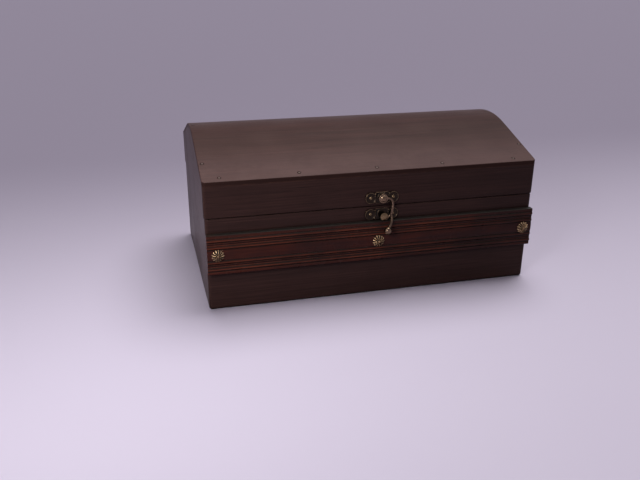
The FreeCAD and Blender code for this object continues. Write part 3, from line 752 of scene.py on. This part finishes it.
class Shells:
    """Closed shells in millimetres, gathered into one piece."""

    SOFTEN_PASSES = 4

    def __init__(self) -> None:
        """Starts with none."""
        self.shape = bmesh.new()

    def rings(self, loops: list[list[Vector]], finish: int = 0) -> None:
        """Adds a skin over a row of rings and closes both of its ends.

        Args:
            loops: the rings from one end to the other, with the same number of points in each.
            finish: the number of the piece's finish that the skin takes.
        """
        rows = [[self.shape.verts.new(point) for point in loop] for loop in loops]
        count = len(rows[0])
        skin = [self.shape.faces.new(rows[0][::-1]), self.shape.faces.new(rows[-1])]
        for low, high in zip(rows, rows[1:]):
            for i in range(count):
                j = (i + 1) % count
                skin.append(self.shape.faces.new((low[i], low[j], high[j], high[i])))
        for face in skin:
            face.material_index = finish

    def turned(
        self, seat: Vector, outward: Vector, profile: Profile, sides: int = 48, finish: int = 0
    ) -> None:
        """Adds a piece turned about an axis.

        Args:
            seat: the point of the axis that heights count from.
            outward: the direction of the axis.
            profile: radius and height of each ring.
            sides: points round each ring.
            finish: the number of the piece's finish that it takes.
        """
        axis = outward.normalized()
        across = axis.orthogonal().normalized()
        wheel = spokes(across, axis.cross(across), sides)
        loops = [[seat + axis * height + spoke * radius for spoke in wheel] for radius, height in profile]
        self.rings(loops, finish)

    def ball(self, centre: Vector, radius: float, rows: int = 20) -> None:
        """Adds a ball.

        Args:
            centre: its middle.
            radius: its radius.
            rows: rings from pole to pole.
        """
        angles = [math.pi * (i + 0.5) / rows for i in range(rows)]
        profile = [(radius * math.sin(angle), -radius * math.cos(angle)) for angle in angles]
        self.turned(centre, Vector(UP), profile, 2 * rows)

    def slab(self, outline: Profile, back: float, front: float) -> None:
        """Adds a flat plate from its x, z corners and the y of its back and front faces."""
        self.rings([[Vector((x, y, z)) for x, z in outline] for y in (back, front)])

    def tube(self, points: list[Vector], radii: list[float], sides: int = 24) -> None:
        """Adds a round bar along a line of points.

        Args:
            points: the line.
            radii: the bar's radius at each point.
            sides: points round the bar.
        """
        loops = []
        across = (points[1] - points[0]).orthogonal().normalized()
        for i, (point, radius) in enumerate(zip(points, radii)):
            ahead = (points[min(i + 1, len(points) - 1)] - points[max(i - 1, 0)]).normalized()
            across = (across - ahead * across.dot(ahead)).normalized()
            loops.append([point + spoke * radius for spoke in spokes(across, ahead.cross(across), sides)])
        self.rings(loops)

    def piece(
        self, name: str, body: str, nodes: tuple[str, ...], slot: Slot, material: Material, melt: float = 0.0
    ) -> bpy.types.Object:
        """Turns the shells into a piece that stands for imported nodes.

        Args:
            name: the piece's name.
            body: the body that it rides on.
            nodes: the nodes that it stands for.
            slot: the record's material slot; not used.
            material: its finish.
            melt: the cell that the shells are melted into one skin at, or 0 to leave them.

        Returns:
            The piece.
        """
        bmesh.ops.recalc_face_normals(self.shape, faces=self.shape.faces)
        mesh = bpy.data.meshes.new(name)
        self.shape.to_mesh(mesh)
        self.shape.free()
        piece = bpy.data.objects.new(name, mesh)
        bpy.context.scene.collection.objects.link(piece)
        if melt:
            remesh = piece.modifiers.new("melt", "REMESH")
            remesh.mode = "VOXEL"
            remesh.voxel_size = melt
            smooth = piece.modifiers.new("soften", "SMOOTH")
            smooth.iterations = self.SOFTEN_PASSES
            melted = piece.evaluated_get(bpy.context.evaluated_depsgraph_get())
            piece.data = bpy.data.meshes.new_from_object(melted)
            piece.modifiers.clear()
            bpy.data.meshes.remove(mesh)
            piece.data.name = name
        piece.data.transform(Matrix.Scale(MM, 4))
        piece.data.shade_smooth()
        piece.data.materials.append(material)
        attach(piece, body)
        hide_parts(*nodes)
        log.info("%s: %d faces, %s", name, len(piece.data.polygons), material.name)
        return piece


@dataclass
class Moulding:
    """The reeded moulding, with a fine quirk beside each reed, in millimetres."""

    low: float = 29.0
    height: float = 29.5
    half_width: float = 125.0
    face: float = -80.0
    bed: float = 4.2
    edge: float = 2.6
    edge_round: float = 0.8
    reeds: Section = ((2.9, 0.6), (2.4, -0.4), (2.7, 0.5))
    reed_power: float = 1.15
    field_bulge: float = 0.35
    field_power: float = 2.0
    quirk_width: float = 0.5
    quirk_depth: float = 0.5
    end_round: float = 0.3
    end_step: float = 0.25
    end_loops: int = 20
    steps: int = 6
    edge_steps: int = 30
    sharp_angle: float = 50.0
    board: int = 11

    def build(self, effects: Effects) -> None:
        """Builds the moulding.

        Args:
            effects: the shared node groups.
        """
        whole = self.half_width - self.end_round
        right = [(whole - self.end_step * i, 0.0) for i in range(self.end_loops, 0, -1)]
        for i in range(self.end_loops + 1):
            angle = math.pi / 2 * i / self.end_loops
            right.append((whole + self.end_round * math.sin(angle), self.end_round * (1 - math.cos(angle))))
        stations = [(-x, inset) for x, inset in right[::-1]] + right
        section = self._section()
        shells = Shells()
        shells.rings([[self._eased(x, z, proud, inset) for z, proud in section] for x, inset in stations])
        material = MAHOGANY.material(effects, Grain.LENGTHWISE, self.board)
        piece = shells.piece("reeded_moulding", "case", ("front_moulding",), Slot.MAHOGANY, material)
        piece.data.set_sharp_from_angle(angle=math.radians(self.sharp_angle))

    def _eased(self, x: float, z: float, proud: float, inset: float) -> Vector:
        """A point of the section, drawn in where the moulding's ends are eased.

        Args:
            x: the section's place along the moulding.
            z: the point's height.
            proud: its distance in front of the wall.
            inset: how far the section is drawn in there.

        Returns:
            The point.
        """
        middle = self.low + self.height / 2
        from_middle = max(-self.height / 2 + inset, min(self.height / 2 - inset, z - middle))
        return Vector((x, self.face - max(0.0, proud - inset), middle + from_middle))

    def _section(self) -> Profile:
        """The section, from the wall under the moulding round its front to the wall above it.

        Returns:
            Height and distance in front of the wall, point by point.
        """
        field_height = self.height - 2 * (self.edge + sum(width for width, _ in self.reeds))
        reeds = [(*reed, self.reed_power) for reed in self.reeds]
        bands = [*reeds, (field_height, self.field_bulge, self.field_power), *reeds[::-1]]
        half = self.quirk_width / 2
        turns = [math.pi / 2 * i / self.edge_steps for i in range(self.edge_steps + 1)]
        corner = [
            (self.edge_round * (1 - math.cos(turn)), self.bed - self.edge_round * (1 - math.sin(turn)))
            for turn in turns
        ]
        points = [(self.low, 0.0)] + [(self.low + rise, proud) for rise, proud in corner]
        z = self.low + self.edge
        points += [(z - half, self.bed), (z, self.bed - self.quirk_depth)]
        for width, bulge, power in bands:
            for i in range(self.steps + 1):
                share = i / self.steps
                swell = 1 - abs(2 * share - 1) ** power
                points.append((z + half + (width - self.quirk_width) * share, self.bed + bulge * swell))
            z += width
            points.append((z, self.bed - self.quirk_depth))
        points.append((z + half, self.bed))
        top = self.low + self.height
        return points + [(top - rise, proud) for rise, proud in corner[::-1]] + [(top, 0.0)]


@dataclass
class Daisy:
    """A tack whose head is stamped as a daisy, in millimetres."""

    node: str
    x: float
    z: float = 43.75
    seat: float = -84.8
    radius: float = 4.7
    back_share: float = 0.97
    rim: float = 0.35
    rim_widest: float = 0.5
    rim_least: float = 0.6
    rim_under_groove: float = 0.4
    dome: float = 2.1
    petals: int = 13
    petal_power: float = 3.0
    groove: float = 1.15
    groove_start: float = 0.2
    groove_run: float = 0.65
    scallop: float = 0.14
    scallop_power: int = 4
    button: float = 1.05
    button_rise: float = 0.3
    button_depth: float = 0.55
    button_start: float = 0.4
    button_rows: int = 8
    shank: Section = ((0.1, -10.5), (0.7, -8.5), (0.7, 0.0))
    rows: int = 16
    sides: int = 16

    def build(self, material: Material) -> None:
        """Builds the tack.

        Args:
            material: its finish.
        """
        shells = Shells()
        shank = [self._loop(radius, height) for radius, height in self.shank]
        shells.rings(shank + self._head())
        shells.piece(f"daisy_{self.node}", "case", (self.node,), Slot.BRASS, material)

    def _loop(self, radius: float, height: float, petal: float = 0.0) -> list[Vector]:
        """One ring of the tack.

        Args:
            radius: the ring's radius.
            height: its height above the moulding.
            petal: how deep the grooves between the petals are there.

        Returns:
            The ring's points.
        """
        points = []
        count = self.petals * self.sides
        outer = min(1.0, radius / self.radius) ** self.scallop_power
        for i in range(count):
            turn = 2 * math.pi * i / count
            ridge = abs(math.cos(self.petals * turn / 2)) ** self.petal_power
            reach = radius * (1 - self.scallop * (1 - ridge) * outer)
            y = self.seat - (height - petal * (1 - ridge))
            points.append(Vector((self.x + reach * math.cos(turn), y, self.z + reach * math.sin(turn))))
        return points

    def _head(self) -> list[list[Vector]]:
        """Rings of the head, from its back edge over the petals to the middle button.

        Returns:
            The rings.
        """
        loops = [self._loop(self.radius * self.back_share, 0.0)]
        loops.append(self._loop(self.radius, self.rim * self.rim_widest))
        for i in range(self.rows):
            share = 1 - (i + 0.5) / self.rows
            radius = self.button + (self.radius - self.button) * share
            height = self.rim + self.dome * (1 - (radius / self.radius) ** 2)
            depth = self.groove * math.sin(math.pi * min(1.0, self.groove_start + self.groove_run * share))
            depth = min(depth, height - self.rim * self.rim_under_groove)
            loops.append(self._loop(radius, max(height, self.rim * self.rim_least), depth))
        top = self.rim + self.dome
        base = top - self.button_depth
        for i in range(self.button_rows):
            angle = math.pi / 2 * (i + self.button_start) / self.button_rows
            height = base + (top + self.button_rise - base) * math.sin(angle)
            loops.append(self._loop(self.button * math.cos(angle), height))
        return loops


@dataclass
class Latch:
    """The swing-hook latch: two stamped plates and the hook, in millimetres."""

    x: float = 3.0
    face: float = -80.0
    pivot_height: float = 75.7
    keeper_height: float = 63.3
    thickness: float = 0.9
    spread: float = 8.5
    lobe_edge: Section = ((4.2, 0.0), (4.2, 1.0), (4.05, 1.22), (3.8, 1.3))
    lobe_dish: Section = ((3.52, 1.18), (3.2, 0.9), (1.7, 0.8), (0.4, 0.8))
    boss: Section = ((3.9, 0.0), (3.9, 1.45), (3.78, 1.68), (3.5, 1.8), (0.5, 1.8))
    neck: float = 3.4
    block_width: float = 10.6
    block_height: float = 8.8
    block_cut: float = 1.0
    bead: float = 0.8
    bead_inset: float = 1.5
    hook_depth: float = 3.05
    bar: float = 1.0
    bar_start: float = 2.0
    eye: Section = ((1.35, -1.0), (3.25, -1.0), (3.6, -0.65), (3.6, 0.65), (3.25, 1.0), (1.35, 1.0))
    turn_start: float = 3.0
    turn: float = 4.6
    turn_steps: int = 12
    drop: float = 28.5
    drop_length: float = 7.6
    drop_steps: int = 8
    finger_run: Point = (-0.7, -3.4, -4.8)
    finger_ball: Point = (5.4, -88.85, 52.8)
    finger_steps: int = 8
    ball: float = 2.9
    spur_tip: Span = (6.15, 59.7)
    spur: float = 0.65
    spur_taper: float = 0.9
    cell: float = 0.14

    def build(self, plate: Material, hook: Material, heads: Material) -> None:
        """Builds both plates and the hook, and dresses the rivet, the stud and the nails.

        Args:
            plate: the plates' finish.
            hook: the hook's and the rivet's finish.
            heads: the stud's and the nails' finish.
        """
        self._plate("latch_upper_plate", "lid", "latch_hook_plate", self.pivot_height, plate)
        self._plate("latch_lower_plate", "case", "latch_keeper_plate", self.keeper_height, plate)
        self._hook(hook)
        dress("latch_rivet", hook)
        for node in ("latch_stud", "hook_plate_nails", "keeper_nails"):
            dress(node, heads)

    def _plate(self, name: str, body: str, node: str, height: float, material: Material) -> None:
        """Builds one plate: a middle block with a boss between two rimmed lobes.

        Args:
            name: the piece's name.
            body: the body that it rides on.
            node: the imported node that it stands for.
            height: the height of its middle.
            material: its finish.
        """
        shells = Shells()
        wide = self.block_width / 2
        high = self.block_height / 2
        front = self.face - self.thickness
        shells.slab(self._block(height, wide, high), self.face, front)
        neck = [(self.x + side * self.spread, height + end * self.neck / 2) for side, end in CORNERS]
        shells.slab(neck, self.face, front)
        for side in (-1, 1):
            seat = Vector((self.x + side * self.spread, self.face, height))
            shells.turned(seat, FORWARD, self.lobe_edge + self.lobe_dish)
            for end in (-1, 1):
                bead_height = height + end * (high - self.bead_inset)
                shells.ball(Vector((self.x + side * wide, front, bead_height)), self.bead)
        shells.turned(Vector((self.x, self.face, height)), FORWARD, self.boss)
        shells.piece(name, body, (node,), Slot.BRASS, material, self.cell)

    def _block(self, height: float, wide: float, high: float) -> Profile:
        """The outline of a plate's middle block, with its corners cut.

        Args:
            height: the height of its middle.
            wide: half its width.
            high: half its height.

        Returns:
            Its x, z corners.
        """
        outline = []
        for side, end in CORNERS:
            upright = (self.x + side * wide, height + end * (high - self.block_cut))
            level = (self.x + side * (wide - self.block_cut), height + end * high)
            outline += [upright, level] if side == end else [level, upright]
        return outline

    def _drop_line(self) -> list[Vector]:
        """The line of the hook's bar from its eye down to the bend above the finger.

        Returns:
            Points along the line.
        """
        y = self.face - self.hook_depth
        turn_x = self.x + self.turn_start
        turn_z = self.pivot_height - self.turn
        points = [Vector((x, y, self.pivot_height)) for x in (self.x + self.bar_start, turn_x)]
        for i in range(1, self.turn_steps + 1):
            angle = math.pi / 2 * (1 - i / self.turn_steps)
            x = turn_x + self.turn * math.cos(angle)
            points.append(Vector((x, y, turn_z + self.turn * math.sin(angle))))
        swing = math.asin(self.drop_length / self.drop)
        for i in range(1, self.drop_steps + 1):
            angle = swing * i / self.drop_steps
            x = turn_x + self.turn - self.drop * (1 - math.cos(angle))
            points.append(Vector((x, y, turn_z - self.drop * math.sin(angle))))
        return points

    def _finger_line(self, above: Vector, bend: Vector) -> list[Vector]:
        """The smooth line of the hook's finger from the bend to its ball.

        Args:
            above: the last point of the bar before the bend.
            bend: the bend.

        Returns:
            Points along the line, without the bend.
        """
        points = []
        finger = bend + Vector(self.finger_run)
        tip = Vector(self.finger_ball)
        steer = [above, bend, finger, tip, tip + (tip - finger)]
        for before, start, end, after in zip(steer, steer[1:], steer[2:], steer[3:]):
            lean = end - before
            curve = 2 * before - 5 * start + 4 * end - after
            twist = 3 * start - before - 3 * end + after
            for i in range(1, self.finger_steps + 1):
                t = i / self.finger_steps
                points.append(0.5 * (2 * start + lean * t + curve * t * t + twist * t ** 3))
        return points

    def _hook(self, material: Material) -> None:
        """Builds the hook: its eye, bent bar, spur and finger ball.

        Args:
            material: its finish.
        """
        shells = Shells()
        drop = self._drop_line()
        bend = drop[-1]
        points = drop + self._finger_line(drop[-2], bend)
        shells.tube(points, [self.bar] * len(points))
        y = self.face - self.hook_depth
        shells.turned(Vector((self.x, y, self.pivot_height)), FORWARD, self.eye)
        shells.ball(Vector(self.finger_ball), self.ball)
        spur_x, spur_z = self.spur_tip
        tip = Vector((spur_x, y, spur_z))
        shells.tube([bend, (bend + tip) / 2, tip], [self.spur, self.spur, self.spur * self.spur_taper])
        shells.ball(tip, self.spur)
        shells.piece("swing_hook", "hook", ("latch_hook",), Slot.BRASS, material, self.cell)


@dataclass
class Brads:
    """The small brads that hold the roof panel, in millimetres."""

    row: tuple[float, ...] = (-113.0, -57.25, 0.0, 50.75, 108.5)
    row_reach: float = 75.5
    end_x: float = 122.5
    end_row: tuple[float, ...] = (-58.0, 0.0, 58.0)
    half_depth: float = 80.0
    eave: float = 95.5
    slope: float = math.radians(18.4)
    crown: float = 82.0
    shank: Section = ((0.1, -7.85), (0.5, -6.35), (0.5, -0.175))
    head: Section = ((0.85, 0.0), (0.85, 0.078), (0.7225, 0.1105), (0.425, 0.13), (0.1, 0.15))
    ring: Section = ((0.425, -0.35), (1.5, -0.35), (1.5, 0.0), (1.38, 0.04), (0.425, 0.04))
    sides: int = 24
    ring_finish: int = 1
    ring_board: int = 23

    def build(self, effects: Effects) -> None:
        """Builds all the brads, each in a ring of pooled stain.

        Args:
            effects: the shared node groups.
        """
        shells = Shells()
        places = [(x, -self.row_reach) for x in self.row] + [(-x, self.row_reach) for x in self.row]
        places += [(side * self.end_x, y) for side in (-1, 1) for y in self.end_row]
        for x, y in places:
            height, lean = self._roof(y)
            seat = Vector((x, y, height))
            outward = Vector((0, math.sin(lean), math.cos(lean)))
            shells.turned(seat, outward, self.ring, self.sides, self.ring_finish)
            shells.turned(seat, outward, self.shank + self.head, self.sides)
        piece = shells.piece("roof_brads", "lid", ("lid_brads",), Slot.STEEL, STEEL.material(effects))
        piece.data.materials.append(POOLED_STAIN.material(effects, Grain.LENGTHWISE, self.ring_board))

    def _roof(self, y: float) -> Span:
        """The roof's outside at a distance from the ridge.

        Args:
            y: the distance, negative towards the front.

        Returns:
            Its height and its lean.
        """
        reach = self.crown * math.sin(self.slope)
        if abs(y) > reach:
            return self.eave + (self.half_depth - abs(y)) * math.tan(self.slope), math.copysign(self.slope, y)
        foot = self.eave + (self.half_depth - reach) * math.tan(self.slope)
        lean = math.asin(y / self.crown)
        return foot + self.crown * (math.cos(lean) - math.cos(self.slope)), lean


@dataclass
class Studio:
    """A pale floor, a wide soft lamp overhead, a small one at the side and a soft surround."""

    floor_colour: Colour = (212, 202, 220)
    # The far floor colour is painted shade.
    floor_far_shade: Colour = (152, 143, 160)
    floor_shade_span: Span = (-0.25, 0.4)
    floor_bounce: Colour = (94, 90, 99)
    floor_rough: float = 0.9
    floor_gloss: float = 0.1
    floor_radius: float = 14.0
    floor_sides: int = 96
    sky_from: Point = (0.22, 0.25, 0.94)
    sky_width: float = 46.0
    sky_level: float = 2.55
    fill_place: Point = (-0.42, -0.46, 0.34)
    fill_aim: Point = (-0.12, -0.08, 0.05)
    fill_size: float = 0.2
    fill_spread: float = 60.0
    fill_power: float = 0.2
    surround: Colour = (214, 208, 224)
    surround_strength: float = 0.12
    surround_shown: float = 0.65

    def build(self) -> None:
        """Sets up the floor, the lamps and the surround."""
        self._floor()
        self._sky()
        self._fill()
        self._surround()

    def _floor(self) -> None:
        """Lays the floor, which looks pale to the camera, darker towards the back as painted shade, and
        bounces less on to the box.
        """
        mesh = bpy.data.meshes.new("floor")
        shape = bmesh.new()
        bmesh.ops.create_circle(shape, cap_ends=True, segments=self.floor_sides, radius=self.floor_radius)
        shape.to_mesh(mesh)
        shape.free()
        floor = bpy.data.objects.new("floor", mesh)
        bpy.context.scene.collection.objects.link(floor)
        material, graph, shader = new_material("pale_floor")
        # The floor darkens towards the back: painted shade.
        far = graph.span(graph.dot(graph.place(), INWARD), *self.floor_shade_span)
        shown = graph.layer(linear(self.floor_colour), self.floor_far_shade, far)
        feeds = {
            "Base Color": graph.blend(self._seen(graph), linear(self.floor_bounce), shown),
            "Roughness": self.floor_rough,
            "Specular IOR Level": self.floor_gloss,
        }
        graph.fill(shader, feeds)
        mesh.materials.append(material)
        log.info("floor: %s", material.name)

    @staticmethod
    def _seen(graph: Graph) -> Socket:
        """Whether a ray shows the stage itself, rather than lighting the box with it.

        Args:
            graph: the material's or the world's graph.

        Returns:
            1 for camera, glossy and transmission rays, and 0 for the rest.
        """
        rays = graph.add("ShaderNodeLightPath").outputs
        shown = graph.maths("MAXIMUM", rays["Is Camera Ray"], rays["Is Glossy Ray"])
        return graph.maths("MAXIMUM", shown, rays["Is Transmission Ray"])

    @staticmethod
    def _hang(data: bpy.types.Light, place: Vector, aim: Vector) -> None:
        """Hangs a lamp and turns it to what it lights.

        Args:
            data: the lamp.
            place: where it hangs.
            aim: the point that it faces.
        """
        lamp = bpy.data.objects.new(data.name, data)
        lamp.location = place
        lamp.rotation_euler = (aim - place).to_track_quat("-Z", "Y").to_euler()
        bpy.context.scene.collection.objects.link(lamp)
        log.info("%s: level %.2f", data.name, data.energy)

    def _sky(self) -> None:
        """Lights the floor and the box evenly from a wide patch of sky."""
        data = bpy.data.lights.new("soft_sky", "SUN")
        data.angle = math.radians(self.sky_width)
        data.energy = self.sky_level
        self._hang(data, Vector(self.sky_from), Vector())

    def _fill(self) -> None:
        """Lifts the near end of the front with a small soft lamp."""
        data = bpy.data.lights.new("side_fill", "AREA")
        data.size = self.fill_size
        data.spread = math.radians(self.fill_spread)
        data.energy = self.fill_power
        self._hang(data, Vector(self.fill_place), Vector(self.fill_aim))

    def _surround(self) -> None:
        """Fills the rest of the room with soft light, and shows it pale behind the floor."""
        world = bpy.data.worlds.new("surround")
        world.use_nodes = True
        graph = Graph(world.node_tree)
        strength = graph.span(self._seen(graph), 0.0, 1.0, self.surround_strength, self.surround_shown)
        feeds = {"Color": linear(self.surround), "Strength": strength}
        graph.fill(world.node_tree.nodes["Background"], feeds)
        bpy.context.scene.world = world


@dataclass(frozen=True)
class PhotoCamera:
    """The camera's place and aim, worked out from the photograph."""

    place: Point = (-0.1627, -0.5303, 0.2315)
    yaw: float = 14.87
    pitch: float = 21.63
    roll: float = 0.34
    focal_pixels: float = 693.0
    image_width: float = 640.0
    sensor: float = 36.0
    nearest: float = 0.01

    def build(self) -> None:
        """Sets up the camera."""
        yaw, pitch, roll = (math.radians(angle) for angle in (self.yaw, self.pitch, self.roll))
        ahead = Vector((math.sin(yaw) * math.cos(pitch), math.cos(yaw) * math.cos(pitch), -math.sin(pitch)))
        level = Vector((math.cos(yaw), -math.sin(yaw), 0.0))
        above = level.cross(ahead)
        right = math.cos(roll) * level + math.sin(roll) * above
        up = math.cos(roll) * above - math.sin(roll) * level
        data = bpy.data.cameras.new("photo_camera")
        data.sensor_width = self.sensor
        data.lens = self.focal_pixels / self.image_width * self.sensor
        data.clip_start = self.nearest
        camera = bpy.data.objects.new("photo_camera", data)
        turn = Matrix((right, up, -ahead)).transposed().to_4x4()
        camera.matrix_world = Matrix.Translation(self.place) @ turn
        bpy.context.scene.collection.objects.link(camera)
        bpy.context.scene.camera = camera
        log.info("photo_camera: %.1f mm lens", data.lens)


def main() -> None:
    """Builds the stage and dresses the box, in order."""
    logging.basicConfig(level=logging.INFO, format="%(name)s %(message)s")
    bpy.context.scene.view_settings.view_transform = "Standard"
    PhotoCamera().build()
    Studio().build()
    effects = Effects()
    Case().build(effects)
    Lid().build(effects)
    Drawer().build(effects)
    Moulding().build(effects)
    tack_brass = TACK_BRASS.material(effects)
    for node, x in TACKS.items():
        Daisy(node, x).build(tack_brass)
    hook_brass = HOOK_BRASS.material(effects)
    Latch().build(PLATE_BRASS.material(effects), hook_brass, HEAD_BRASS.material(effects))
    Hinges().build(HINGE_BRASS.material(effects))
    Brads().build(effects)


if __name__ == "__main__":
    main()
